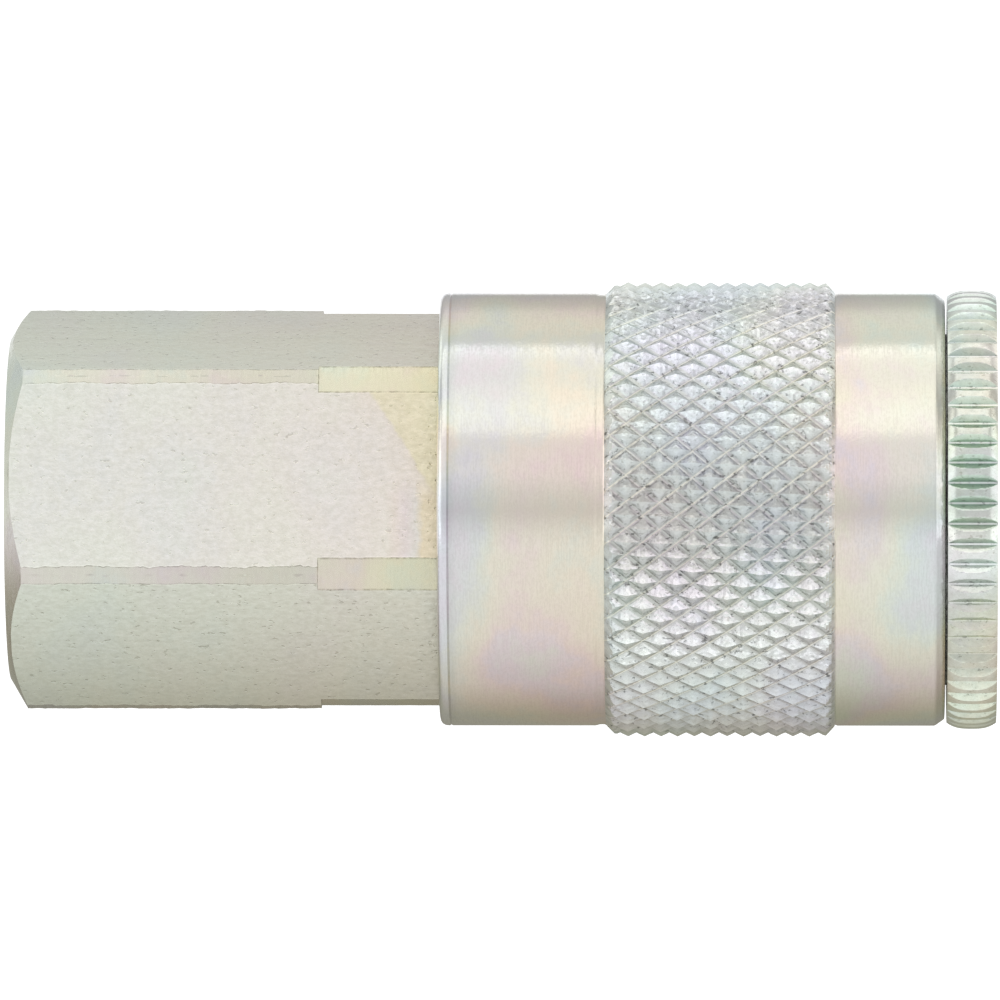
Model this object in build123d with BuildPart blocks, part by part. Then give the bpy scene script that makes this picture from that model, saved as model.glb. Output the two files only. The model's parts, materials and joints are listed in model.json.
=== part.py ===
from build123d import *
from math import atan, cos, pi, sin, sqrt
import os

# Quick disconnect coupler, in millimetres. X runs along the axis from the thread-end face to the plug mouth.

# Sizes across the axis, from the plug socket outwards.
socket_radius = 6.0
tip_bore_radius = 4.05
ball_radius = 1.984
ball_count = 8
ball_protrusion = 0.954
body_wall = 1.5
corner_turning = 0.3
neck_turning = 0.54
skirt_wall = 1.07
knurl_rise = 0.65
ring_rise = 0.18
inlet_radius = 7.96
stem_radius = 1.5

# Sizes along the axis, from the thread end.
hex_length = 18.3
neck_reserve = 2.05
neck_hidden = 6.25
sleeve_length = 29.59
ring_gap = 0.13
ball_to_mouth = 0.44
ring_width = 2.9
inlet_length = 12.0
valve_travel = 3.5

# Sizes of the cut and turned features.
end_chamfer_length = 1.05
end_chamfer_rise = 1.8
seal_wire_radius = 0.7
knurl_start = 9.75
knurl_length = 13.4
knurl_chamfer = 0.65
flute_count = 66
flute_depth = 0.35
flute_half_width = 0.41
flute_bottom = 0.12
lock_land_length = 2.6
sleeve_wire_radius = 0.6
valve_wire_radius = 0.4
snap_wire_radius = 0.5
seal_section_radius = 0.85

# Fits and gaps.
running_clearance = 0.05
thread_clearance = 0.07
ball_gap = 0.02
seal_gap = 0.01
end_gap = 0.05

# The balls ride out on the cone inside the sleeve as the sleeve is pulled back.
ball_margin = 0.026
travel_ratio = 5.0
ball_travel = ball_protrusion + ball_margin
sleeve_travel = ball_travel * travel_ratio
cone_angle = atan(1 / travel_ratio)
ball_locked_radius = socket_radius + ball_radius - ball_protrusion
contact_offset = (ball_radius + ball_gap) * sin(cone_angle)
cone_lead = contact_offset + 0.08
cone_radius_at_ball = ball_locked_radius + (ball_radius + ball_gap) / cos(cone_angle)
land_radius = cone_radius_at_ball - cone_lead / travel_ratio
barrel_radius = land_radius - running_clearance

# Radii that follow from the socket and the walls.
body_socket_radius = barrel_radius + thread_clearance
hex_half_flats = body_socket_radius + body_wall
hex_corner_radius = 2 * hex_half_flats / sqrt(3)
turned_corner_radius = hex_corner_radius - corner_turning
neck_radius = hex_corner_radius - neck_turning
skirt_bore_radius = neck_radius + running_clearance
sleeve_radius = skirt_bore_radius + skirt_wall
knurl_radius = sleeve_radius + knurl_rise
ring_radius = sleeve_radius + ring_rise
counterbore_radius = ball_locked_radius + ball_travel + ball_radius + 0.4
relief_radius = socket_radius + 0.3
nose_radius = barrel_radius - 0.53
chamber_radius = socket_radius + 0.2
guide_pocket_radius = chamber_radius + 0.7
passage_radius = chamber_radius + 0.6

# Places along the axis.
sleeve_rear = hex_length + sleeve_travel + neck_reserve
sleeve_front = sleeve_rear + sleeve_length
body_front = sleeve_rear + neck_hidden
ring_rear = sleeve_front + ring_gap
ring_front = ring_rear + ring_width
ball_x = sleeve_front - sleeve_travel - ball_radius - ball_to_mouth
land_front = ball_x - cone_lead
land_rear = land_front - lock_land_length
cone_end = ball_x + sleeve_travel - contact_offset + 0.3
cone_end_radius = cone_radius_at_ball + (cone_end - ball_x) / travel_ratio
nose_shoulder = cone_end + end_gap
barrel_front = ring_front - 0.45
snap_x = barrel_front - 0.65
recess_rear = snap_x - snap_wire_radius - end_gap
recess_radius = nose_radius + 1.5
relief_rear = ball_x - ball_radius - 0.35
relief_front = ball_x + ball_radius + 0.75
socket_step = relief_rear - 2.2
seat_x = socket_step - 8.5
barrel_rear = seat_x - 16.5

# The valve seat is a 45 degree cone, and the poppet's cone stands off it by the part of the seal that shows.
seat_sum = seat_x + tip_bore_radius
poppet_stand_off = 0.3
poppet_sum = seat_sum - poppet_stand_off * sqrt(2)
head_radius = chamber_radius - 0.7
poppet_nose_radius = tip_bore_radius - 0.2
valve_section_radius = 0.8
seal_mid_radius = (tip_bore_radius + chamber_radius) / 2
valve_seal_radius = seal_mid_radius - (valve_section_radius + seal_gap) / sqrt(2)
valve_seal_x = seat_sum - seal_mid_radius - (valve_section_radius + seal_gap) / sqrt(2)
poppet_front = seat_x + valve_travel - 0.2
head_rear = poppet_sum - head_radius - 2.4
guide_front = barrel_rear + 3.5
guide_rear = barrel_rear + 1.7
hub_front = guide_front + 1.5
hub_radius = stem_radius + 1.3

# Seal groove in the barrel's tip bore.
plug_groove_front = socket_step - 1.4
plug_groove_rear = plug_groove_front - 3.0
plug_groove_radius = tip_bore_radius - 0.1 + 2 * seal_section_radius
plug_seal_x = plug_groove_front - seal_section_radius - 0.12
plug_seal_mid_radius = plug_groove_radius - seal_section_radius

os.makedirs("parts", exist_ok=True)


with BuildPart() as hex_body:
    with BuildSketch(Plane.XY):
        with BuildLine():
            Polyline(
                (0, inlet_radius + 0.45),
                (0, turned_corner_radius - end_chamfer_rise),
                (end_chamfer_length, turned_corner_radius),
                (hex_length, turned_corner_radius),
                (hex_length, neck_radius),
                (body_front - 0.4, neck_radius),
                (body_front, neck_radius - 0.4),
                (body_front, body_socket_radius),
                (barrel_rear, body_socket_radius),
                (barrel_rear, passage_radius),
                (inlet_length + 0.6, passage_radius),
                (inlet_length, inlet_radius),
                (0.45, inlet_radius),
                close=True,
            )
        make_face()
    revolve(axis=Axis.X)
    with BuildSketch(Plane.YZ):
        RegularPolygon(hex_half_flats, 6, major_radius=False, rotation=0)
    extrude(amount=body_front, mode=Mode.INTERSECT)
hex_body.part.label = "hex_body"

body_groove_radius = body_socket_radius - 2 * seal_wire_radius
body_groove_x = body_front - 2.8
with BuildPart() as barrel:
    with BuildSketch(Plane.XY):
        with BuildLine():
            Polyline(
                (barrel_rear, guide_pocket_radius),
                (barrel_rear, barrel_radius - 0.4),
                (barrel_rear + 0.4, barrel_radius),
                (body_groove_x - 1.1, barrel_radius),
                (body_groove_x - 1.1, body_groove_radius),
                (body_groove_x + 1.1, body_groove_radius),
                (body_groove_x + 1.1, barrel_radius),
                (nose_shoulder, barrel_radius),
                (nose_shoulder, nose_radius),
                (snap_x - snap_wire_radius, nose_radius),
                (snap_x - snap_wire_radius, nose_radius - 0.45),
                (snap_x + snap_wire_radius, nose_radius - 0.45),
                (snap_x + snap_wire_radius, nose_radius),
                (barrel_front, nose_radius),
                (barrel_front, socket_radius + 1.0),
                (barrel_front - 1.0, socket_radius),
                (relief_front, socket_radius),
                (relief_front - 0.3, relief_radius),
                (relief_rear + 0.3, relief_radius),
                (relief_rear, socket_radius),
                (socket_step, socket_radius),
                (socket_step - 0.8, tip_bore_radius),
                (plug_groove_front, tip_bore_radius),
                (plug_groove_front, plug_groove_radius),
                (plug_groove_rear, plug_groove_radius),
                (plug_groove_rear, tip_bore_radius),
                (seat_x, tip_bore_radius),
                (seat_sum - chamber_radius, chamber_radius),
                (guide_front, chamber_radius),
                (guide_front, guide_pocket_radius),
                (guide_rear, guide_pocket_radius),
                (guide_rear, guide_pocket_radius + 0.5),
                (guide_rear - 0.9, guide_pocket_radius + 0.5),
                (guide_rear - 0.9, guide_pocket_radius),
                close=True,
            )
        make_face()
    revolve(axis=Axis.X)
    # Tapered radial holes, narrower inside, so that the balls cannot fall into the socket.
    taper = atan(0.3)
    hole_radius = ball_radius + 0.056
    taper_at_ball = (ball_radius + ball_gap) / cos(taper)
    taper_top = ball_locked_radius - (taper_at_ball - hole_radius) / 0.3
    taper_foot = relief_radius - 0.6
    foot_radius = taper_at_ball + (taper_foot - ball_locked_radius) * 0.3
    for turn in range(ball_count):
        hole_plane = Plane.XY.rotated((360 / ball_count * turn, 0, 0))
        with BuildSketch(hole_plane.offset(taper_foot)):
            with Locations((ball_x, 0)):
                Circle(foot_radius)
        extrude(amount=taper_top - taper_foot, taper=-taper * 180 / pi, mode=Mode.SUBTRACT)
        with BuildSketch(hole_plane.offset(taper_top)):
            with Locations((ball_x, 0)):
                Circle(hole_radius)
        extrude(amount=barrel_radius - taper_top + 1, mode=Mode.SUBTRACT)
barrel.part.label = "barrel"

with BuildPart() as body_seal:
    with BuildSketch(Plane.XY):
        with Locations((body_groove_x, body_socket_radius - seal_wire_radius)):
            Circle(seal_wire_radius)
    revolve(axis=Axis.X)
body_seal.part.label = "body_seal"

with BuildPart() as nose_ring:
    with BuildSketch(Plane.XY):
        with BuildLine():
            hub = counterbore_radius - 0.08
            Polyline(
                (recess_rear, nose_radius + 0.02),
                (nose_shoulder, nose_radius + 0.02),
                (nose_shoulder, hub - 0.2),
                (nose_shoulder + 0.2, hub),
                (ring_rear, hub),
                (ring_rear, ring_radius - 0.5),
            )
            Spline(
                (ring_rear, ring_radius - 0.5),
                (ring_rear + 0.09, ring_radius - 0.3),
                (ring_rear + 0.32, ring_radius - 0.13),
                (ring_rear + ring_width / 2, ring_radius),
                (ring_front - 0.32, ring_radius - 0.13),
                (ring_front - 0.09, ring_radius - 0.3),
                (ring_front, ring_radius - 0.5),
            )
            Polyline(
                (ring_front, ring_radius - 0.5),
                (ring_front, recess_radius + 0.3),
                (ring_front - 0.3, recess_radius),
                (recess_rear, recess_radius),
                (recess_rear, nose_radius + 0.02),
            )
        make_face()
    revolve(axis=Axis.X)
    with BuildSketch(Plane.YZ.offset(ring_rear - 0.5)):
        with PolarLocations(ring_radius - flute_depth, flute_count):
            Polygon(
                (0, -flute_bottom / 2),
                (flute_depth + 0.1, -flute_half_width),
                (flute_depth + 0.1, flute_half_width),
                (0, flute_bottom / 2),
                align=None,
            )
    extrude(amount=ring_width + 1, mode=Mode.SUBTRACT)
nose_ring.part.label = "nose_ring"

with BuildPart() as nose_snap_ring:
    with BuildSketch(Plane.XY):
        with Locations((snap_x, nose_radius - 0.45 + snap_wire_radius)):
            Circle(snap_wire_radius - 0.01)
    revolve(axis=Axis.X, revolution_arc=330)
nose_snap_ring.part.label = "nose_snap_ring"

with BuildPart() as sleeve:
    with BuildSketch(Plane.XY):
        knurl_rear = sleeve_rear + knurl_start
        knurl_front = knurl_rear + knurl_length
        with BuildLine():
            Polyline(
                (sleeve_rear, skirt_bore_radius + 0.25),
                (sleeve_rear, sleeve_radius - 0.75),
                (sleeve_rear + 0.22, sleeve_radius - 0.22),
                (sleeve_rear + 0.75, sleeve_radius),
                (knurl_rear, sleeve_radius),
                (knurl_rear + knurl_chamfer, knurl_radius),
                (knurl_front - knurl_chamfer, knurl_radius),
                (knurl_front, sleeve_radius),
                (sleeve_front - 0.53, sleeve_radius),
                (sleeve_front, sleeve_radius - 0.48),
                (sleeve_front, counterbore_radius + 0.25),
                (sleeve_front - 0.25, counterbore_radius),
                (cone_end, counterbore_radius),
                (cone_end, cone_end_radius),
                (land_front, land_radius),
                (land_rear, land_radius),
                (land_rear, skirt_bore_radius),
                (sleeve_rear + 0.25, skirt_bore_radius),
                close=True,
            )
        make_face()
    revolve(axis=Axis.X)
sleeve.part.label = "sleeve"

spring_start = body_front + end_gap
spring_end = land_rear - end_gap
spring_room = spring_end - spring_start - sleeve_travel
sleeve_turns = int(spring_room / (2 * sleeve_wire_radius) - 1)
sleeve_coil_radius = barrel_radius + 0.2 + sleeve_wire_radius
with BuildPart() as sleeve_spring:
    with BuildLine() as sleeve_coil:
        Helix(
            pitch=(spring_end - spring_start) / sleeve_turns,
            height=spring_end - spring_start,
            radius=sleeve_coil_radius,
            center=(spring_start, 0, 0),
            direction=(1, 0, 0),
        )
    with BuildSketch(Plane(origin=sleeve_coil.line @ 0, z_dir=sleeve_coil.line % 0)):
        Circle(sleeve_wire_radius)
    sweep(is_frenet=True)
    # The end coils are ground flat.
    split(bisect_by=Plane.YZ.offset(spring_start), keep=Keep.TOP)
    split(bisect_by=Plane.YZ.offset(spring_end), keep=Keep.BOTTOM)
sleeve_spring.part.label = "sleeve_spring"

for turn in range(ball_count):
    with BuildPart() as ball:
        angle = 2 * pi * turn / ball_count
        with Locations((ball_x, -ball_locked_radius * sin(angle), ball_locked_radius * cos(angle))):
            Sphere(ball_radius)
    ball.part.label = f"ball_{turn + 1}"
    export_step(ball.part, f"parts/{ball.part.label}.step")

with BuildPart() as valve_poppet:
    with BuildSketch(Plane.XY):
        with BuildLine():
            Polyline(
                (guide_rear - 0.8, 0),
                (guide_rear - 0.8, stem_radius - 0.3),
                (guide_rear - 0.5, stem_radius),
                (head_rear, stem_radius),
                (head_rear, head_radius - 0.3),
                (head_rear + 0.3, head_radius),
                (poppet_sum - head_radius, head_radius),
                (poppet_sum - poppet_nose_radius, poppet_nose_radius),
                (poppet_front - 0.3, poppet_nose_radius),
                (poppet_front, poppet_nose_radius - 0.3),
                (poppet_front, poppet_nose_radius - 1.15),
                (seat_x - 1.0, poppet_nose_radius - 1.15),
                (seat_x - 2.0, 0),
                close=True,
            )
        make_face()
    revolve(axis=Axis.X)
    # Round-bottomed groove that holds the seal ring.
    with BuildSketch(Plane.XY):
        with Locations((valve_seal_x, valve_seal_radius)):
            Circle(valve_section_radius + 0.01)
    revolve(axis=Axis.X, mode=Mode.SUBTRACT)
    # Two crossed slots leave four fingers that the plug's tip pushes.
    with BuildSketch(Plane.YZ.offset(seat_x + 0.4)):
        Rectangle(2.0, 2 * poppet_nose_radius + 1)
        Rectangle(2 * poppet_nose_radius + 1, 2.0)
    extrude(amount=valve_travel, mode=Mode.SUBTRACT)
valve_poppet.part.label = "valve_poppet"

with BuildPart() as valve_seal:
    with BuildSketch(Plane.XY):
        with Locations((valve_seal_x, valve_seal_radius)):
            Circle(valve_section_radius)
    revolve(axis=Axis.X)
valve_seal.part.label = "valve_seal"

valve_room = head_rear - guide_front - 2 * end_gap
valve_turns = int((valve_room - valve_travel) / (2 * valve_wire_radius) - 1)
valve_coil_radius = hub_radius + 0.35 + valve_wire_radius
with BuildPart() as valve_spring:
    with BuildLine() as valve_coil:
        Helix(
            pitch=valve_room / valve_turns,
            height=valve_room,
            radius=valve_coil_radius,
            center=(guide_front + end_gap, 0, 0),
            direction=(1, 0, 0),
        )
    with BuildSketch(Plane(origin=valve_coil.line @ 0, z_dir=valve_coil.line % 0)):
        Circle(valve_wire_radius)
    sweep(is_frenet=True)
    # The end coils are ground flat.
    split(bisect_by=Plane.YZ.offset(guide_front + end_gap), keep=Keep.TOP)
    split(bisect_by=Plane.YZ.offset(head_rear - end_gap), keep=Keep.BOTTOM)
valve_spring.part.label = "valve_spring"

with BuildPart() as valve_guide:
    with BuildSketch(Plane.YZ.offset(guide_rear)):
        Circle(guide_pocket_radius - 0.03)
        Circle(guide_pocket_radius - 1.4, mode=Mode.SUBTRACT)
        with PolarLocations(guide_pocket_radius / 2, 3):
            Rectangle(guide_pocket_radius - 1, 1.6)
        Circle(hub_radius)
    extrude(amount=guide_front - guide_rear)
    with BuildSketch(Plane.YZ.offset(guide_front)):
        Circle(hub_radius)
    extrude(amount=hub_front - guide_front)
    with BuildSketch(Plane.YZ.offset(guide_rear)):
        Circle(stem_radius + running_clearance)
    extrude(amount=hub_front - guide_rear, mode=Mode.SUBTRACT)
valve_guide.part.label = "valve_guide"

with BuildPart() as guide_retaining_ring:
    with BuildSketch(Plane.XY):
        with Locations((guide_rear - 0.45, guide_pocket_radius - 0.1)):
            Rectangle(0.8, 1.1)
    revolve(axis=Axis.X, revolution_arc=318)
guide_retaining_ring.part.label = "guide_retaining_ring"

with BuildPart() as plug_seal:
    with BuildSketch(Plane.XY):
        with Locations((plug_seal_x, plug_seal_mid_radius)):
            Circle(seal_section_radius - seal_gap)
    revolve(axis=Axis.X)
plug_seal.part.label = "plug_seal"

with BuildPart() as plug_seal_backup:
    with BuildSketch(Plane.XY):
        with BuildLine():
            Polyline(
                (plug_groove_rear + 0.05, tip_bore_radius + 0.05),
                (plug_groove_rear + 1.05, tip_bore_radius + 0.05),
                (plug_groove_rear + 1.05, plug_groove_radius - 0.05),
                (plug_groove_rear + 0.05, plug_groove_radius - 0.05),
                close=True,
            )
        make_face()
    revolve(axis=Axis.X)
plug_seal_backup.part.label = "plug_seal_backup"

finished = [
    hex_body,
    barrel,
    body_seal,
    nose_ring,
    nose_snap_ring,
    sleeve,
    sleeve_spring,
    valve_poppet,
    valve_seal,
    valve_spring,
    valve_guide,
    guide_retaining_ring,
    plug_seal,
    plug_seal_backup,
]
for piece in finished:
    export_step(piece.part, f"parts/{piece.part.label}.step")
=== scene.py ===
"""Quick disconnect coupler: its visible surfaces, finishes, studio and camera.

Lengths are written in millimetres and turned into metres where a mesh is made. X runs from the thread end to
the plug mouth. Angles round the axis start at the front (-Y) and grow upwards (+Z).
"""

import json
import logging
import math
from collections.abc import Sequence
from dataclasses import dataclass
from enum import Enum

import bpy
import numpy as np
from mathutils import Matrix, Vector

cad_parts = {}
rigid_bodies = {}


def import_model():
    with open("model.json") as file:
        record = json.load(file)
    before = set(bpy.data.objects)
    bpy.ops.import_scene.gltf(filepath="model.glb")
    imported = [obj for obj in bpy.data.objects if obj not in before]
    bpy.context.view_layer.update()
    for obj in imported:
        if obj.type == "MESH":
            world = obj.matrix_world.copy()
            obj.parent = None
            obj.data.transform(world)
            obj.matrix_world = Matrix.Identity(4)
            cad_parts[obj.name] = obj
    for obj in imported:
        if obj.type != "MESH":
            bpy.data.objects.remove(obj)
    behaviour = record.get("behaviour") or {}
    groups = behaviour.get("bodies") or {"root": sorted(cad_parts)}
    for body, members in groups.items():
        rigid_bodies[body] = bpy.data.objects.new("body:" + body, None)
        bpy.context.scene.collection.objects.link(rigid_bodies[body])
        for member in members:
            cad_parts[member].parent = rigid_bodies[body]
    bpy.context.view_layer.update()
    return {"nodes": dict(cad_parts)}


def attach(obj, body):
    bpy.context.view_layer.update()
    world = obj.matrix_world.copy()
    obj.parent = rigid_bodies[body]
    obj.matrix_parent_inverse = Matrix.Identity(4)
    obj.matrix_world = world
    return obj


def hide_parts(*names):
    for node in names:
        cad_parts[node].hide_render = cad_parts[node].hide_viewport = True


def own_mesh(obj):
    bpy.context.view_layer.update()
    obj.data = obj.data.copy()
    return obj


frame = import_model()

MM = 0.001
LOG = logging.getLogger("coupler")

Colour = tuple[float, float, float]
Stops = Sequence[tuple[float, Colour]]
Profile = list[tuple[float, float]]
Piece = bpy.types.Object
Socket = bpy.types.NodeSocket


# ---------------------------------------------------------------------------------------------- meshes


def cell_quads(rows: int, cols: int, wrap_rows: bool = True) -> np.ndarray:
    """Corner numbers of every cell of a grid of points whose last column joins the first.

    Args:
        rows: Number of rows of points.
        cols: Number of points in each row.
        wrap_rows: Joins the last row to the first.

    Returns:
        An array of four corner numbers for each cell.
    """
    i, j = np.meshgrid(np.arange(rows if wrap_rows else rows - 1), np.arange(cols), indexing="ij")
    i2, j2 = (i + 1) % rows, (j + 1) % cols
    corners = [i * cols + j, i * cols + j2, i2 * cols + j2, i2 * cols + j]
    return np.stack(corners, axis=-1).reshape(-1, 4)


def split_quads(quads: np.ndarray, along_first: np.ndarray) -> np.ndarray:
    """Cuts each cell into two triangles along the diagonal asked for.

    Args:
        quads: Four corner numbers for each cell.
        along_first: True where the cut joins the first and third corners.

    Returns:
        Three corner numbers for each triangle.
    """
    a, b, c, d = quads.T
    pick = along_first.reshape(-1, 1)
    first = np.where(pick, np.stack([a, b, c], 1), np.stack([a, b, d], 1))
    second = np.where(pick, np.stack([a, c, d], 1), np.stack([b, c, d], 1))
    return np.concatenate([first, second])


def volume_inside(points: np.ndarray, faces: np.ndarray) -> float:
    """Signed volume: each face, cut into triangles, adds a sixth of its corners' triple product.

    Args:
        points: Corner places.
        faces: Corner numbers of each face.

    Returns:
        The volume, negative where the faces point inwards.
    """
    total = 0.0
    for k in range(1, faces.shape[1] - 1):
        a, b, c = points[faces[:, 0]], points[faces[:, k]], points[faces[:, k + 1]]
        total += float(np.einsum("ij,ij->i", a, np.cross(b, c)).sum()) / 6
    return total


def add_piece(name: str, points: np.ndarray, faces: np.ndarray, smooth_below: float = 30.0) -> Piece:
    """Makes a closed mesh object with its faces outwards.

    Args:
        name: The piece's name.
        points: Corner places in millimetres, one row each.
        faces: Corner numbers of each face.
        smooth_below: Edges bent less than this many degrees are shaded smooth, and 0 shades all flat.

    Returns:
        The new object, linked to the scene.
    """
    points = np.asarray(points, float).reshape(-1, 3) * MM
    if volume_inside(points, faces) < 0:
        faces = faces[:, ::-1]
    mesh = bpy.data.meshes.new(name)
    mesh.from_pydata(points.tolist(), [], faces.tolist())
    mesh.validate()
    if smooth_below > 0:
        mesh.polygons.foreach_set("use_smooth", np.ones(len(mesh.polygons), bool))
        mesh.set_sharp_from_angle(angle=math.radians(smooth_below))
    mesh.update()
    piece = bpy.data.objects.new(name, mesh)
    bpy.context.scene.collection.objects.link(piece)
    return piece


def around(x: np.ndarray, radius: np.ndarray, angle: np.ndarray) -> np.ndarray:
    """Points at a distance along the axis, a radius and an angle: (x, -r cos a, r sin a)."""
    x, radius, angle = np.broadcast_arrays(x, radius, angle)
    return np.stack([x, -radius * np.cos(angle), radius * np.sin(angle)], axis=-1)


def mark(piece: Piece, label: str, values: np.ndarray) -> None:
    """Stores a number from 0 to 1 at each corner of a piece's mesh.

    Args:
        piece: The piece.
        label: "cut" for how deep a corner lies in a groove, or "edge" for whether it lies on an outline.
        values: The numbers, in the corners' order.
    """
    store = piece.data.attributes.new(label, "FLOAT", "POINT")
    store.data.foreach_set("value", np.clip(values, 0, 1).astype(np.float32).ravel())


def face_centres(piece: Piece) -> np.ndarray:
    """The middle of each face.

    Args:
        piece: The piece.

    Returns:
        One row for each face, in metres.
    """
    centres = np.zeros(len(piece.data.polygons) * 3)
    piece.data.polygons.foreach_get("center", centres)
    return centres.reshape(-1, 3)


def turned(name: str, profile: Profile, columns: int) -> Piece:
    """A ring turned about the axis: each point of a closed profile is carried once round.

    Args:
        name: The piece's name.
        profile: (x, radius) corners of the closed section, in order.
        columns: Number of steps round the axis.

    Returns:
        The new object.
    """
    x, r = np.array(profile, float).T
    angle = np.linspace(0, 2 * math.pi, columns, endpoint=False)
    points = around(x[:, None], r[:, None], angle[None, :])
    return add_piece(name, points, cell_quads(len(x), columns))


def eased(profile: Profile, cuts: dict[int, float], steps: int) -> Profile:
    """Rounds chosen corners of a closed profile.

    Each corner becomes a curve between points a cut length either side of it, with the weights (1-t)^2,
    2t(1-t) and t^2 on the first point, the corner and the last point.

    Args:
        profile: (x, radius) corners in order.
        cuts: Corner number to cut length.
        steps: Points on each rounded corner, less one.

    Returns:
        The new list of corners.
    """
    out: Profile = []
    p = np.array(profile, float)
    for k in range(len(p)):
        if k not in cuts:
            out.append((float(p[k][0]), float(p[k][1])))
            continue
        before, after = p[k - 1] - p[k], p[(k + 1) % len(p)] - p[k]
        a = p[k] + before / np.linalg.norm(before) * cuts[k]
        c = p[k] + after / np.linalg.norm(after) * cuts[k]
        t = np.linspace(0, 1, steps + 1)[:, None]
        curve = (1 - t) ** 2 * a + 2 * t * (1 - t) * p[k] + t**2 * c
        out += [(float(q[0]), float(q[1])) for q in curve]
    return out


def tube_along(name: str, path: np.ndarray, section: float, sides: int = 20) -> Piece:
    """A round wire carried along an open path, with flat ends.

    The section's circle stands square to the path. One of its two directions points away from the axis.

    Args:
        name: The piece's name.
        path: Points in millimetres along the middle of the wire.
        section: The wire's radius.
        sides: Number of steps round the wire.

    Returns:
        The new object.
    """
    along = np.gradient(path, axis=0)
    along /= np.linalg.norm(along, axis=1, keepdims=True)
    out = path * np.array([0.0, 1.0, 1.0])
    out -= along * np.einsum("ij,ij->i", out, along)[:, None]
    out /= np.linalg.norm(out, axis=1, keepdims=True)
    side = np.cross(along, out)
    turn = np.linspace(0, 2 * math.pi, sides, endpoint=False)
    rings = (
        path[:, None, :]
        + section * np.cos(turn)[None, :, None] * out[:, None, :]
        + section * np.sin(turn)[None, :, None] * side[:, None, :]
    )
    rows = len(path)
    middles = np.stack([path[0], path[-1]])
    points = np.concatenate([rings.reshape(-1, 3), middles])
    body = cell_quads(rows, sides, wrap_rows=False)
    body = split_quads(body, np.ones(len(body), bool))
    k = np.arange(sides)
    first = np.stack([np.full(sides, rows * sides), (k + 1) % sides, k], 1)
    base = (rows - 1) * sides
    last = np.stack([np.full(sides, rows * sides + 1), base + k, base + (k + 1) % sides], 1)
    return add_piece(name, points, np.concatenate([body, first, last]), smooth_below=40)


def uneven(x: np.ndarray, seed: int, amount: float, longest: float) -> np.ndarray:
    """A smooth uneven line: a sum of eight sine waves.

    Wave k is k**1.35 times shorter than the longest and k**0.7 times weaker than its random size.

    Args:
        x: Places along the line.
        seed: Picks the waves' phases and sizes.
        amount: Height of the first wave, at most.
        longest: Length of the first wave.

    Returns:
        The line's height at each place.
    """
    draw = np.random.default_rng(seed)
    waves = np.arange(1, 9)
    phase = draw.uniform(0, 2 * math.pi, waves.size)
    size = draw.uniform(0.5, 1.0, waves.size) / waves**0.7
    return amount * (np.sin(2 * math.pi * x[..., None] * waves**1.35 / longest + phase) * size).sum(-1)


# -------------------------------------------------------------------------------------------- finishes


class Marks(Enum):
    """What the surface was left with by its last machining step."""

    TURNED = "turned"
    DRAWN = "drawn"
    ROLLED = "rolled"
    FLUTED = "fluted"
    SMOOTH = "smooth"


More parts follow.
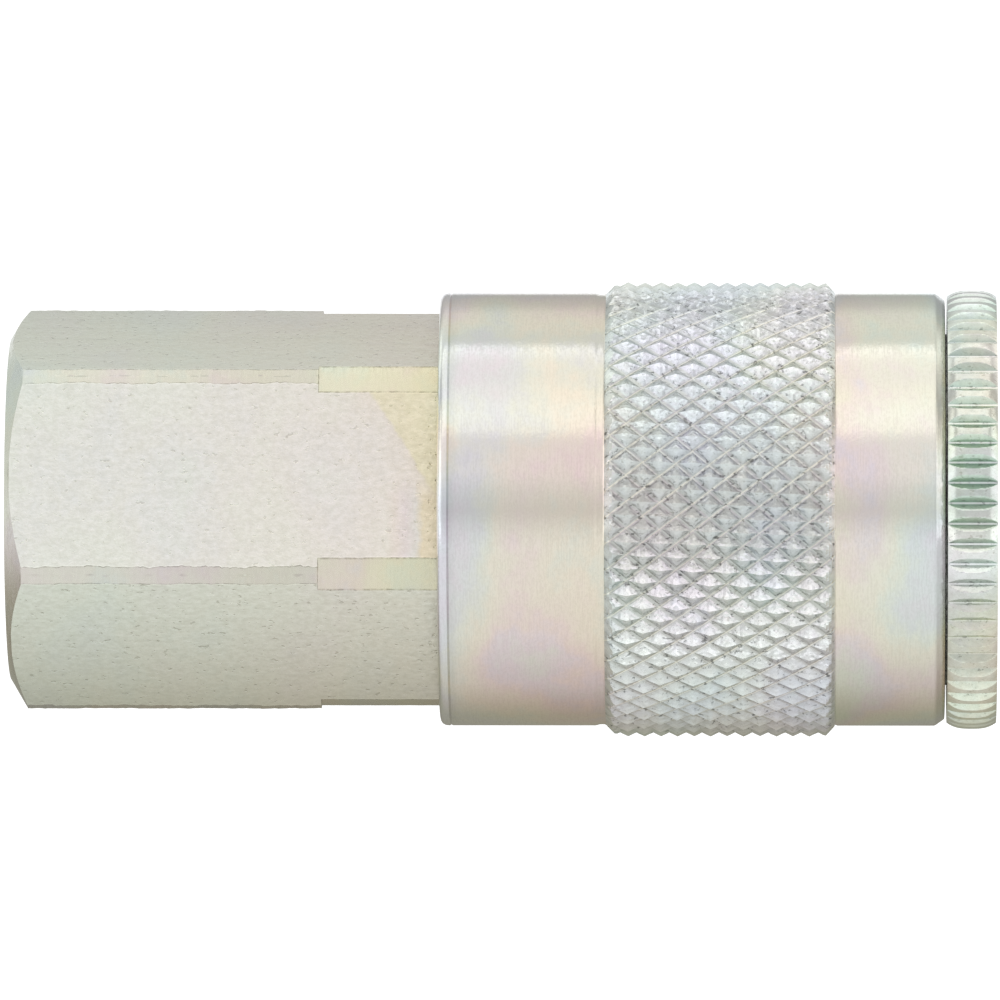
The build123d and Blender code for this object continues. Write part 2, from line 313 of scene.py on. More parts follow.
class Nodes:
    """Small helper that places and links shader nodes in one tree."""

    def __init__(self, tree: bpy.types.NodeTree) -> None:
        """Keeps the tree and clears it.

        Args:
            tree: The node tree to build in.
        """
        self.tree = tree
        tree.nodes.clear()

    def put(self, kind: str, **values: object) -> bpy.types.Node:
        """Adds a node and sets its properties.

        Args:
            kind: The node's type, without the ShaderNode prefix.
            **values: Property names and values.

        Returns:
            The node.
        """
        full = kind if kind.startswith("Node") else "ShaderNode" + kind
        node = self.tree.nodes.new(full)
        for key, value in values.items():
            setattr(node, key, value)
        return node

    def link(self, source: Socket, target: Socket) -> None:
        """Joins two sockets."""
        self.tree.links.new(source, target)

    def feed(self, node: bpy.types.Node, **inputs: object) -> bpy.types.Node:
        """Sets or links a node's inputs by name, with underscores for spaces, or by number as i0, i1 and i2.

        Args:
            node: The node whose inputs are set.
            **inputs: Input names with a value or a source socket.

        Returns:
            The same node.
        """
        for key, value in inputs.items():
            numbered = key[0] == "i" and key[1:].isdigit()
            socket = node.inputs[int(key[1:]) if numbered else key.replace("_", " ")]
            if isinstance(value, Socket):
                self.link(value, socket)
            else:
                socket.default_value = value
        return node

    def maths(self, step: str, a: object, b: object = 0.0, c: object = 0.0, clamp: bool = False) -> Socket:
        """One Math node.

        Args:
            step: The operation.
            a: First value or socket.
            b: Second value or socket.
            c: Third value or socket.
            clamp: Keeps the result between 0 and 1.

        Returns:
            The result socket.
        """
        node = self.put("Math", operation=step, use_clamp=clamp)
        return self.feed(node, i0=a, i1=b, i2=c).outputs[0]

    def noise(self, vector: Socket, scale: float, detail: float, rough: float) -> Socket:
        """A Noise Texture's value.

        Args:
            vector: Where to read it.
            scale: Its scale.
            detail: Its number of octaves.
            rough: How strong the finer octaves are.

        Returns:
            The value socket.
        """
        node = self.put("TexNoise")
        return self.feed(node, Vector=vector, Scale=scale, Detail=detail, Roughness=rough).outputs["Fac"]

    def stretched(self, vector: Socket, factors: tuple[float, float, float]) -> Socket:
        """The vector multiplied by a factor along each axis."""
        node = self.put("VectorMath", operation="MULTIPLY")
        return self.feed(node, i0=vector, i1=factors).outputs[0]

    def between(
        self, value: Socket, low: float, high: float, to_low: float = 0.0, to_high: float = 1.0
    ) -> Socket:
        """A smooth step of the value from one range to another.

        Args:
            value: The value.
            low: Where the step starts.
            high: Where it ends.
            to_low: The result below it.
            to_high: The result above it.

        Returns:
            The result socket.
        """
        node = self.put("MapRange", interpolation_type="SMOOTHSTEP")
        self.feed(node, Value=value, From_Min=low, From_Max=high, To_Min=to_low, To_Max=to_high)
        return node.outputs[0]

    def ramp(self, value: Socket, stops: Stops) -> Socket:
        """A colour ramp.

        Args:
            value: What it is read by.
            stops: Place and colour of each stop.

        Returns:
            The colour socket.
        """
        node = self.put("ValToRGB")
        elements = node.color_ramp.elements
        while len(elements) < len(stops):
            elements.new(0.5)
        for element, (place, colour) in zip(elements, stops):
            element.position = place
            element.color = (*colour, 1.0)
        self.link(value, node.inputs[0])
        return node.outputs[0]

    def mix(self, share: object, a: object, b: object, how: str = "MIX") -> Socket:
        """A colour mix.

        Args:
            share: How much of the second colour.
            a: First colour or socket.
            b: Second colour or socket.
            how: The blend type.

        Returns:
            The colour socket.
        """
        node = self.put("Mix", data_type="RGBA", blend_type=how, clamp_factor=True)
        for index, value in ((0, share), (6, a), (7, b)):
            if isinstance(value, Socket):
                self.link(value, node.inputs[index])
            else:
                node.inputs[index].default_value = (*value, 1.0) if isinstance(value, tuple) else value
        return node.outputs[2]

    def dye(self, colour: Socket, tint: object, share: object = 1.0) -> Socket:
        """The colour multiplied by a share of a tint."""
        return self.mix(share, colour, tint, "MULTIPLY")

    def swing(self, noise: Socket, reach: object, middle: object) -> Socket:
        """The middle value moved by a noise about its own middle: middle + reach * (noise - 0.5)."""
        return self.maths("MULTIPLY_ADD", self.maths("SUBTRACT", noise, 0.5), reach, middle)

    def span(self, value: Socket, start: float, stop: float) -> Socket:
        """How far a length lies from one place in millimetres to another, from 0 to 1."""
        past = self.maths("SUBTRACT", value, start * MM)
        return self.maths("DIVIDE", past, (stop - start) * MM, clamp=True)

    def place(self) -> Socket:
        """Where on the piece a point lies, in metres."""
        return self.put("TexCoord").outputs["Object"]

    def parts(self, vector: Socket) -> list[Socket]:
        """The x, y and z of a vector."""
        return list(self.feed(self.put("SeparateXYZ"), i0=vector).outputs)

    def attribute(self, label: str) -> Socket:
        """A number stored at the mesh's corners."""
        return self.put("Attribute", attribute_name=label).outputs["Fac"]

    def group(self, tree: bpy.types.NodeTree, **inputs: object) -> bpy.types.Node:
        """A node group with the given inputs."""
        return self.feed(self.put("Group", node_tree=tree), **inputs)

    def bump(self, shader: bpy.types.Node, height: Socket, strength: float, distance: float) -> None:
        """Joins a height to the shader's normal."""
        node = self.feed(self.put("Bump"), Height=height, Strength=strength, Distance=distance)
        self.link(node.outputs[0], shader.inputs["Normal"])


def new_material(name: str) -> tuple[bpy.types.Material, Nodes, bpy.types.Node]:
    """Starts a material whose Principled shader is joined to its output.

    Args:
        name: The material's name.

    Returns:
        The material, its node helper and its shader.
    """
    material = bpy.data.materials.new(name)
    material.use_nodes = True
    n = Nodes(material.node_tree)
    shader = n.put("BsdfPrincipled")
    n.link(shader.outputs[0], n.put("OutputMaterial").inputs[0])
    return material, n, shader


def new_group(
    name: str, inputs: list[tuple[str, str, object]], outputs: list[tuple[str, str]]
) -> tuple[bpy.types.NodeTree, Nodes, bpy.types.Node, bpy.types.Node]:
    """Starts a shader node group.

    Args:
        name: The group's name.
        inputs: Name, socket type and starting value of each input.
        outputs: Name and socket type of each output.

    Returns:
        The group, its helper, and its input and output nodes.
    """
    tree = bpy.data.node_groups.new(name, "ShaderNodeTree")
    for label, kind, value in inputs:
        socket = tree.interface.new_socket(name=label, in_out="INPUT", socket_type="NodeSocket" + kind)
        socket.default_value = value
    for label, kind in outputs:
        tree.interface.new_socket(name=label, in_out="OUTPUT", socket_type="NodeSocket" + kind)
    n = Nodes(tree)
    return tree, n, n.put("NodeGroupInput"), n.put("NodeGroupOutput")


class Effects:
    """Surface effects shared by several finishes, each a node group made once."""

    def __init__(self) -> None:
        """Builds every group."""
        self.film = self._film()
        self.lathe = self._lathe()
        self.grain = self._grain()

    def _film(self) -> bpy.types.NodeTree:
        """Rainbow tint of a thin zinc chromate film: two noises pick from the film's order of colours.

        Returns:
            The group.
        """
        tree, n, given, out = new_group(
            "chromate_film",
            [
                ("Base", "Color", (0.8, 0.8, 0.8, 1)),
                ("Strength", "Float", 0.3),
                ("Shift", "Float", 0.0),
                ("Spread", "Float", 1.0),
            ],
            [("Color", "Color")],
        )
        where = n.place()
        broad = n.noise(n.stretched(where, (1.3, 0.8, 0.8)), scale=105.0, detail=2.0, rough=0.45)
        fine = n.noise(n.stretched(where, (1.3, 1.0, 1.0)), scale=900.0, detail=3.0, rough=0.6)
        thick = n.swing(fine, 0.35, n.swing(broad, given.outputs["Spread"], 0.5))
        thick = n.maths("ADD", thick, given.outputs["Shift"])
        order_of_colours = [
            (0.00, (0.86, 0.80, 1.00)), (0.22, (0.80, 0.92, 1.00)), (0.36, (0.88, 1.00, 0.90)),
            (0.48, (1.00, 1.00, 0.84)), (0.58, (1.00, 0.96, 0.86)), (0.68, (1.00, 0.87, 0.88)),
            (0.80, (0.90, 0.84, 1.00)), (1.00, (0.82, 1.00, 0.90)),
        ]
        dyed = n.dye(given.outputs["Base"], n.ramp(thick, order_of_colours))
        n.feed(out, Color=n.mix(given.outputs["Strength"], given.outputs["Base"], dyed))
        return tree

    def _lathe(self) -> bpy.types.NodeTree:
        """Fine broken lines round the axis, a broader chatter and grit between the lines.

        Returns:
            The group.
        """
        tree, n, given, out = new_group(
            "lathe_lines",
            [("Wander", "Float", 0.3)],
            [("Height", "Float"), ("Mask", "Float")],
        )
        where = n.place()
        fine = n.noise(n.stretched(where, (26.0, 1.7, 1.7)), scale=420.0, detail=3.0, rough=0.7)
        broad = n.noise(n.stretched(where, (9.0, 0.6, 0.6)), scale=190.0, detail=2.0, rough=0.6)
        grit = n.noise(n.stretched(where, (1.0, 0.6, 0.6)), scale=7000.0, detail=2.0, rough=0.6)
        fine = n.swing(grit, 0.8, fine)
        height = n.maths("MULTIPLY_ADD", broad, given.outputs["Wander"], fine)
        n.feed(out, Height=height, Mask=n.between(fine, 0.35, 0.68))
        return tree

    def _grain(self) -> bpy.types.NodeTree:
        """Drawn-bar skin: soft bumps, long faint draw lines and small pits.

        Returns:
            The group.
        """
        tree, n, given, out = new_group(
            "drawn_skin",
            [("Scale", "Float", 1.0)],
            [("Height", "Float"), ("Pits", "Float"), ("Speckle", "Float")],
        )
        where = n.place()
        scaled = n.put("VectorMath", operation="SCALE")
        where = n.feed(scaled, Vector=where, Scale=given.outputs["Scale"]).outputs[0]
        bumps = n.noise(n.stretched(where, (0.7, 1.0, 1.0)), scale=3300.0, detail=4.0, rough=0.75)
        lines = n.noise(n.stretched(where, (0.05, 1.0, 1.0)), scale=1500.0, detail=2.0, rough=0.5)
        spots = n.noise(n.stretched(where, (0.7, 1.0, 1.0)), scale=3600.0, detail=2.0, rough=0.5)
        pits = n.between(spots, 0.64, 0.72)
        height = n.maths("MULTIPLY_ADD", lines, 0.25, bumps)
        height = n.maths("MULTIPLY_ADD", pits, -0.5, height)
        n.feed(out, Height=height, Pits=pits, Speckle=bumps)
        return tree


@dataclass(frozen=True)
class MetalFinish:
    """A metal surface: colour, film, tool marks and how rough it is."""

    name: str
    base: Colour
    marks: Marks
    rough: tuple[float, float] = (0.18, 0.32)
    film: float = 0.5
    shift: float = 0.0
    spread: float = 1.6
    bump: float = 0.00002
    strength: float = 0.35
    dark: Colour = (0.52, 0.50, 0.45)
    lined: float = 0.16

    def make(self, effects: Effects) -> bpy.types.Material:
        """Builds the material.

        Args:
            effects: The shared node groups.

        Returns:
            The material.
        """
        material, n, shader = new_material(self.name)
        shader.inputs["Metallic"].default_value = 1.0
        colour, height, mask = self._marks(n, effects)
        n.feed(shader, Base_Color=colour, Roughness=n.between(mask, 0.0, 1.0, *self.rough))
        n.bump(shader, height, self.strength, self.bump)
        return material

    def _marks(self, n: Nodes, effects: Effects) -> tuple[Socket, Socket, Socket]:
        """Colour, height and roughness mask for this finish's marks.

        Args:
            n: The material's node helper.
            effects: The shared node groups.

        Returns:
            Colour, height and mask sockets.
        """
        base, spread = (*self.base, 1.0), self.spread
        film = n.group(effects.film, Base=base, Strength=self.film, Shift=self.shift, Spread=spread)
        colour = film.outputs["Color"]
        if self.marks is Marks.TURNED:
            lines = n.group(effects.lathe, Wander=0.4)
            mask = lines.outputs["Mask"]
            colour = n.dye(colour, self.dark, n.maths("MULTIPLY", mask, self.lined))
            return colour, lines.outputs["Height"], mask
        grain = n.group(effects.grain, Scale=1.0)
        height = grain.outputs["Height"]
        pit_share = 0.35 if self.marks is Marks.DRAWN else 0.45
        colour = n.dye(colour, self.dark, n.between(grain.outputs["Speckle"], 0.3, 0.7, 0.0, 0.28))
        colour = n.dye(colour, self.dark, n.maths("MULTIPLY", grain.outputs["Pits"], pit_share))
        return colour, height, n.between(height, 0.3, 0.9)


@dataclass(frozen=True)
class BarFinish(MetalFinish):
    """The hex bar's finish: the drawn skin, with film thickened near the sleeve, where the rinse water held.

    Near the sleeve the upper front flat has bands of film, square to the axis low down and aslant higher up.
    The heights are the two ends of each soft step, and all of the places are in millimetres.
    """

    length: float = 31.5
    flat_width: float = 12.2
    flat_foot: tuple[float, float] = (0.1, 0.5)
    flat_head: tuple[float, float] = (10.1, 10.4)
    top_flat: tuple[float, float] = (10.3, 10.45)
    high_part: tuple[float, float] = (3.6, 5.4)
    low_patch: tuple[float, float] = (22.2, 25.2)
    high_patch: tuple[float, float] = (26.0, 30.0)
    low_ripple: float = 0.9
    high_ripple: float = 1.1
    lean: float = 0.70
    # Painted highlight: the flats' outlines are brightened where the edge burr catches the light.
    edge_highlight_share: float = 0.8
    edge_highlight_tint: Colour = (1.12, 1.12, 1.12)
    along: Stops = (
        (0.00, (0.98, 1.00, 1.00)), (0.30, (0.985, 0.985, 0.98)),
        (0.60, (1.00, 0.96, 0.95)), (0.80, (1.00, 0.94, 0.92)),
    )
    low_bands: Stops = (
        (0.00, (1.0, 1.0, 1.0)), (0.22, (1.0, 0.96, 0.97)), (0.42, (0.97, 0.93, 1.0)),
        (0.60, (0.96, 0.97, 1.0)), (0.72, (1.0, 0.93, 0.78)), (1.0, (1.0, 0.93, 0.78)),
    )
    high_bands: Stops = (
        (0.00, (1.0, 1.0, 1.0)), (0.48, (1.0, 0.98, 0.95)),
        (0.54, (1.0, 0.985, 0.81)), (1.0, (1.0, 0.985, 0.81)),
    )
    # Painted shading across the top flat: lighter at its front edge and darker towards its back.
    top_painted_shading: Stops = (
        (0.0, (1.03, 1.02, 1.05)), (0.5, (0.98, 0.96, 0.98)), (1.0, (0.93, 0.91, 0.95)),
    )

    def _height(self, n: Nodes, z: Socket, step: tuple[float, float], falling: bool = False) -> Socket:
        """A soft step over a height, rising or falling."""
        ends = (1.0, 0.0) if falling else (0.0, 1.0)
        return n.between(z, step[0] * MM, step[1] * MM, *ends)

    def _marks(self, n: Nodes, effects: Effects) -> tuple[Socket, Socket, Socket]:
        """As a plain metal, greenish at the thread end, pinker along, with bands of film near the sleeve, a
        painted highlight on the flats' outlines and painted shading across the top flat.

        Args:
            n: The material's node helper.
            effects: The shared node groups.

        Returns:
            Colour, height and mask sockets.
        """
        colour, height, mask = super()._marks(n, effects)
        where = n.place()
        x, y, z = n.parts(where)
        colour = n.dye(colour, n.ramp(n.span(x, 0.0, self.length), self.along))
        ripple = n.noise(where, scale=700.0, detail=3.0, rough=0.55)
        square = n.swing(ripple, self.low_ripple * MM, x)
        aslant = n.swing(ripple, self.high_ripple * MM, n.maths("MULTIPLY_ADD", z, self.lean, x))
        low = n.ramp(n.span(square, *self.low_patch), self.low_bands)
        high = n.ramp(n.span(aslant, *self.high_patch), self.high_bands)
        tint = n.mix(self._height(n, z, self.high_part), low, high)
        foot, head = self._height(n, z, self.flat_foot), self._height(n, z, self.flat_head, falling=True)
        colour = n.mix(n.maths("MULTIPLY", foot, head), colour, n.dye(colour, tint))
        # Painted highlight on the edge burr: the colour is brightened along the flats' outlines.
        outline = n.maths("MULTIPLY", n.attribute("edge"), self.edge_highlight_share, clamp=True)
        colour = n.dye(colour, self.edge_highlight_tint, outline)
        # Painted shading on the top flat, lighter at the front and darker at the back.
        top = n.ramp(n.span(y, -self.flat_width / 2, self.flat_width / 2), self.top_painted_shading)
        return n.mix(self._height(n, z, self.top_flat), colour, n.dye(colour, top)), height, mask


@dataclass(frozen=True)
class BandedFinish(MetalFinish):
    """A turned finish whose colour changes along the axis, with film tones and spots of painted shade, and
    from the top to the bottom, where the tint is a painted reflection tint.
    """

    start: float = 25.25
    stop: float = 54.84
    along: Stops = ()
    # Painted reflection tint: upper and lower are the colours the top and the underside take from the light
    # around them.
    upper: Colour = (1.0, 1.0, 1.0)
    lower: Colour = (1.0, 1.0, 1.0)
    height_reach: float = 6.0
    # Painted shade: a dark broken line along the outlines, its share and its colour.
    outline_shade_share: float = 0.0
    outline: Colour = (0.34, 0.33, 0.30)

    def _marks(self, n: Nodes, effects: Effects) -> tuple[Socket, Socket, Socket]:
        """As a plain turned metal, tinted along X and with a painted reflection tint by height, with broken
        lines of painted shade on outlines.

        Args:
            n: The material's node helper.
            effects: The shared node groups.

        Returns:
            Colour, height and mask sockets.
        """
        colour, height, mask = super()._marks(n, effects)
        where = n.place()
        x, _, z = n.parts(where)
        colour = n.dye(colour, n.ramp(n.span(x, self.start, self.stop), self.along))
        reach = self.height_reach * MM
        # Painted reflection tint, blended from the underside's colour to the top's.
        colour = n.dye(colour, n.mix(n.between(z, -reach, reach), self.lower, self.upper))
        # Painted shade along the outlines, broken up by noise.
        broken = n.between(n.noise(where, scale=2600.0, detail=3.0, rough=0.6), 0.40, 0.62, 0.25, 1.0)
        broken = n.maths("MULTIPLY", n.attribute("edge"), broken)
        share = n.maths("MULTIPLY", broken, self.outline_shade_share, clamp=True)
        return n.dye(colour, self.outline, share), height, mask


@dataclass(frozen=True)
class CutFinish(MetalFinish):
    """A knurled or fluted finish, with painted shade and highlight by depth in the groove and, with stops in
    millimetres, painted light and shade by height.
    """

    painted_depth_shading: Stops = ()
    painted_height_shading: Stops = ()
    speck: float = 0.5
    fading: float = 1.0
    fading_heights: tuple[float, float] = (-1.0, 3.0)
    torn_tint: Colour = (0.16, 0.16, 0.16)

    def _marks(self, n: Nodes, effects: Effects) -> tuple[Socket, Socket, Socket]:
        """As a plain metal, with painted shade and highlight by depth and by height, with dark specks where
        the tool tore the surface.

        Args:
            n: The material's node helper.
            effects: The shared node groups.

        Returns:
            Colour, height and mask sockets.
        """
        colour, height, mask = super()._marks(n, effects)
        cut, where = n.attribute("cut"), n.place()
        z = n.parts(where)[2]
        bottom, top = (h * MM for h in self.fading_heights)
        # Painted shade and highlight by depth in the groove, given a smaller share low down.
        tinted = n.dye(colour, n.ramp(cut, self.painted_depth_shading))
        colour = n.mix(n.between(z, bottom, top, self.fading, 1.0), colour, tinted)
        # Painted light and shade by height, read from the stops in millimetres.
        low, high = self.painted_height_shading[0][0], self.painted_height_shading[-1][0]
        stops = [((h - low) / (high - low), tint) for h, tint in self.painted_height_shading]
        colour = n.dye(colour, n.ramp(n.span(z, low, high), stops))
        spots = n.noise(n.stretched(where, (0.6, 1.0, 1.0)), scale=4300.0, detail=3.0, rough=0.65)
        torn = n.maths("MULTIPLY", n.between(spots, 0.58, 0.66), n.between(cut, 0.3, 0.9, 0.15, 1.0))
        return n.dye(colour, self.torn_tint, n.maths("MULTIPLY", torn, self.speck)), height, mask


@dataclass(frozen=True)
class SoftFinish:
    """A rubber or plastic surface with a fine moulded texture and a little dust."""

    name: str
    base: Colour
    dust: Colour
    rough: tuple[float, float]

    def make(self, effects: Effects) -> bpy.types.Material:
        """Builds the material.

        Args:
            effects: The shared node groups.

        Returns:
            The material.
        """
        material, n, shader = new_material(self.name)
        where = n.place()
        fine = n.noise(where, scale=4200.0, detail=3.0, rough=0.6)
        broad = n.noise(where, scale=500.0, detail=2.0, rough=0.5)
        colour = n.mix(n.between(broad, 0.45, 0.75, 0.0, 0.35), self.base, self.dust)
        n.feed(shader, Base_Color=colour, Roughness=n.between(fine, 0.3, 0.7, *self.rough))
        n.bump(shader, fine, strength=0.25, distance=0.00002)
        return material


class Finishes:
    """Every material of the coupler, by name: the record's slots, and a dark zinc that paints shade on inner
    faces and in the gap behind the nose ring.
    """

    def __init__(self) -> None:
        """Makes the shared effects and then each finish."""
        effects = Effects()
        kinds = {
            "zinc_body": BarFinish(
                "zinc on drawn bar",
                (0.90, 0.915, 0.82),
                Marks.DRAWN,
                rough=(0.26, 0.42),
                film=0.14,
                shift=0.03,
                bump=0.00004,
                strength=0.7,
            ),
            "zinc_turned": BandedFinish(
                "zinc on turned neck",
                (0.80, 0.775, 0.70),
                Marks.TURNED,
                rough=(0.2, 0.34),
                film=0.5,
                lined=0.05,
                start=0.0,
                stop=25.0,
                along=(
                    (0.0, (0.92, 0.94, 1.00)), (0.30, (0.90, 0.91, 0.98)), (0.60, (0.85, 0.85, 0.88)),
                    (0.725, (0.84, 0.85, 0.88)), (0.735, (0.94, 0.94, 0.92)), (0.80, (0.95, 0.945, 0.92)),
                    (0.86, (0.96, 0.95, 0.88)), (0.94, (0.94, 0.92, 0.84)), (1.0, (0.93, 0.87, 0.76)),
                ),
                # Painted reflection tint on the upper and lower sides.
                upper=(0.96, 0.96, 0.92),
                lower=(1.03, 0.965, 0.97),
                strength=0.2,
                # Painted shade along the hex outlines.
                outline_shade_share=0.9,
            ),
            "zinc_sleeve": BandedFinish(
                "zinc on turned sleeve",
                (0.84, 0.83, 0.77),
                Marks.TURNED,
                rough=(0.08, 0.2),
                film=0.55,
                spread=2.2,
                lined=0.12,
                # Painted reflection tint on the underside.
                lower=(1.0, 0.955, 0.94),
                # Along the axis: film tones, with a painted shadow line at the rear relief groove and painted
                # shade on the front chamfer.
                along=(
                    (0.0, (1.02, 1.00, 1.06)), (0.019, (1.0, 0.97, 1.02)), (0.024, (0.88, 0.85, 0.86)),
                    (0.040, (0.98, 0.93, 0.94)), (0.30, (1.00, 0.915, 0.90)), (0.33, (1.00, 0.92, 0.90)),
                    (0.80, (1.00, 0.96, 0.93)), (0.84, (0.99, 0.97, 0.97)), (0.978, (0.98, 0.98, 0.99)),
                    (0.984, (0.80, 0.79, 0.80)), (1.0, (0.78, 0.77, 0.78)),
                ),
            ),
            "zinc_knurl": CutFinish(
                "zinc on rolled knurl",
                (0.83, 0.84, 0.84),
                Marks.ROLLED,
                rough=(0.06, 0.15),
                film=0.3,
                shift=-0.06,
                strength=0.6,
                speck=0.75,
                # Painted light and shade by height across the knurl.
                painted_height_shading=(
                    (-13.4, (1.12, 1.12, 1.12)), (-7.0, (1.04, 1.05, 1.04)), (-3.4, (1.02, 1.02, 1.01)),
                    (-1.7, (1.01, 1.02, 1.00)), (0.0, (0.92, 0.93, 0.91)), (2.0, (0.88, 0.87, 0.87)),
                    (3.7, (0.92, 0.90, 0.91)), (5.4, (0.92, 0.90, 0.90)), (7.5, (0.97, 0.96, 0.96)),
                    (9.0, (0.98, 0.97, 0.95)), (10.3, (1.03, 1.03, 1.00)), (11.8, (0.97, 0.99, 0.97)),
                    (12.6, (1.10, 1.13, 1.12)), (13.4, (1.16, 1.16, 1.18)),
                ),
                # Painted shade down the groove walls, painted highlight on the crests and on the groove floor.
                painted_depth_shading=(
                    (0.0, (1.04, 1.04, 1.04)), (0.30, (1.00, 1.00, 1.01)), (0.70, (0.88, 0.88, 0.90)),
                    (0.945, (0.80, 0.79, 0.78)), (0.99, (1.06, 1.01, 0.93)),
                ),
            ),
            "zinc_ring": CutFinish(
                "zinc on fluted ring",
                (0.88, 0.88, 0.84),
                Marks.FLUTED,
                rough=(0.05, 0.13),
                film=0.45,
                shift=-0.12,
                spread=1.6,
                # Painted highlight on the flute rims, and painted shade that darkens and greens the flutes
                # with depth.
                painted_depth_shading=(
                    (0.0, (0.98, 0.96, 0.93)), (0.03, (1.06, 1.06, 1.05)), (0.10, (0.94, 0.98, 0.92)),
                    (0.60, (0.80, 0.87, 0.79)), (0.95, (0.70, 0.79, 0.73)), (1.0, (1.0, 1.0, 1.0)),
                ),
                speck=0.5,
                fading=0.45,
                # Painted light and shade by height across the ring.
                painted_height_shading=(
                    (-13.0, (1.18, 1.16, 1.10)), (-9.2, (1.14, 1.12, 1.07)), (-7.3, (1.08, 1.04, 1.00)),
                    (-5.3, (0.95, 0.90, 0.86)), (-3.7, (0.93, 0.88, 0.82)), (-1.9, (0.93, 0.89, 0.83)),
                    (-0.3, (0.95, 0.93, 0.90)), (0.8, (1.12, 1.11, 1.10)), (1.8, (1.10, 1.09, 1.06)),
                    (3.0, (0.99, 1.00, 0.93)), (4.2, (0.94, 0.98, 0.92)), (5.2, (0.84, 0.88, 0.84)),
                    (6.3, (0.84, 0.90, 0.84)), (7.5, (0.91, 0.95, 0.90)), (9.0, (0.95, 0.94, 0.95)),
                    (10.3, (1.01, 1.01, 1.03)), (11.1, (0.93, 0.92, 0.95)), (12.3, (1.01, 1.03, 1.03)),
                    (13.0, (1.12, 1.15, 1.14)),
                ),
            ),
            # Painted shade: a dark zinc for inner faces and for the gap between sleeve and ring.
            "zinc_gap_shade": MetalFinish(
                "zinc darkened as painted gap shade", (0.31, 0.31, 0.29), Marks.TURNED, rough=(0.3, 0.5), film=0.1
            ),
            "ball_steel": MetalFinish(
                "ball steel", (0.62, 0.62, 0.64), Marks.SMOOTH, rough=(0.05, 0.1), film=0.0, strength=0.05
            ),
            "spring_steel": MetalFinish(
                "spring wire", (0.42, 0.42, 0.43), Marks.SMOOTH, rough=(0.25, 0.4), film=0.1
            ),
            "valve_brass": MetalFinish(
                "machined brass", (0.80, 0.58, 0.26), Marks.TURNED, rough=(0.18, 0.3), film=0.05
            ),
            "seal_rubber": SoftFinish(
                "seal rubber", (0.02, 0.02, 0.022), dust=(0.07, 0.07, 0.07), rough=(0.45, 0.65)
            ),
            "backup_white": SoftFinish(
                "white backup ring", (0.78, 0.77, 0.73), dust=(0.6, 0.58, 0.54), rough=(0.4, 0.55)
            ),
        }
        self.made = {slot: finish.make(effects) for slot, finish in kinds.items()}

    def dress(self, piece: Piece, finish: str) -> None:
        """Gives a piece one finish over its whole surface."""
        piece.data.materials.clear()
        piece.data.materials.append(self.made[finish])

    def dress_node(self, node: Piece, finish: str) -> None:
        """Puts a finish into a frame node's material slots, leaving its mesh alone."""
        for place in node.material_slots:
            place.material = self.made[finish]


# ----------------------------------------------------------------------------------------------- parts


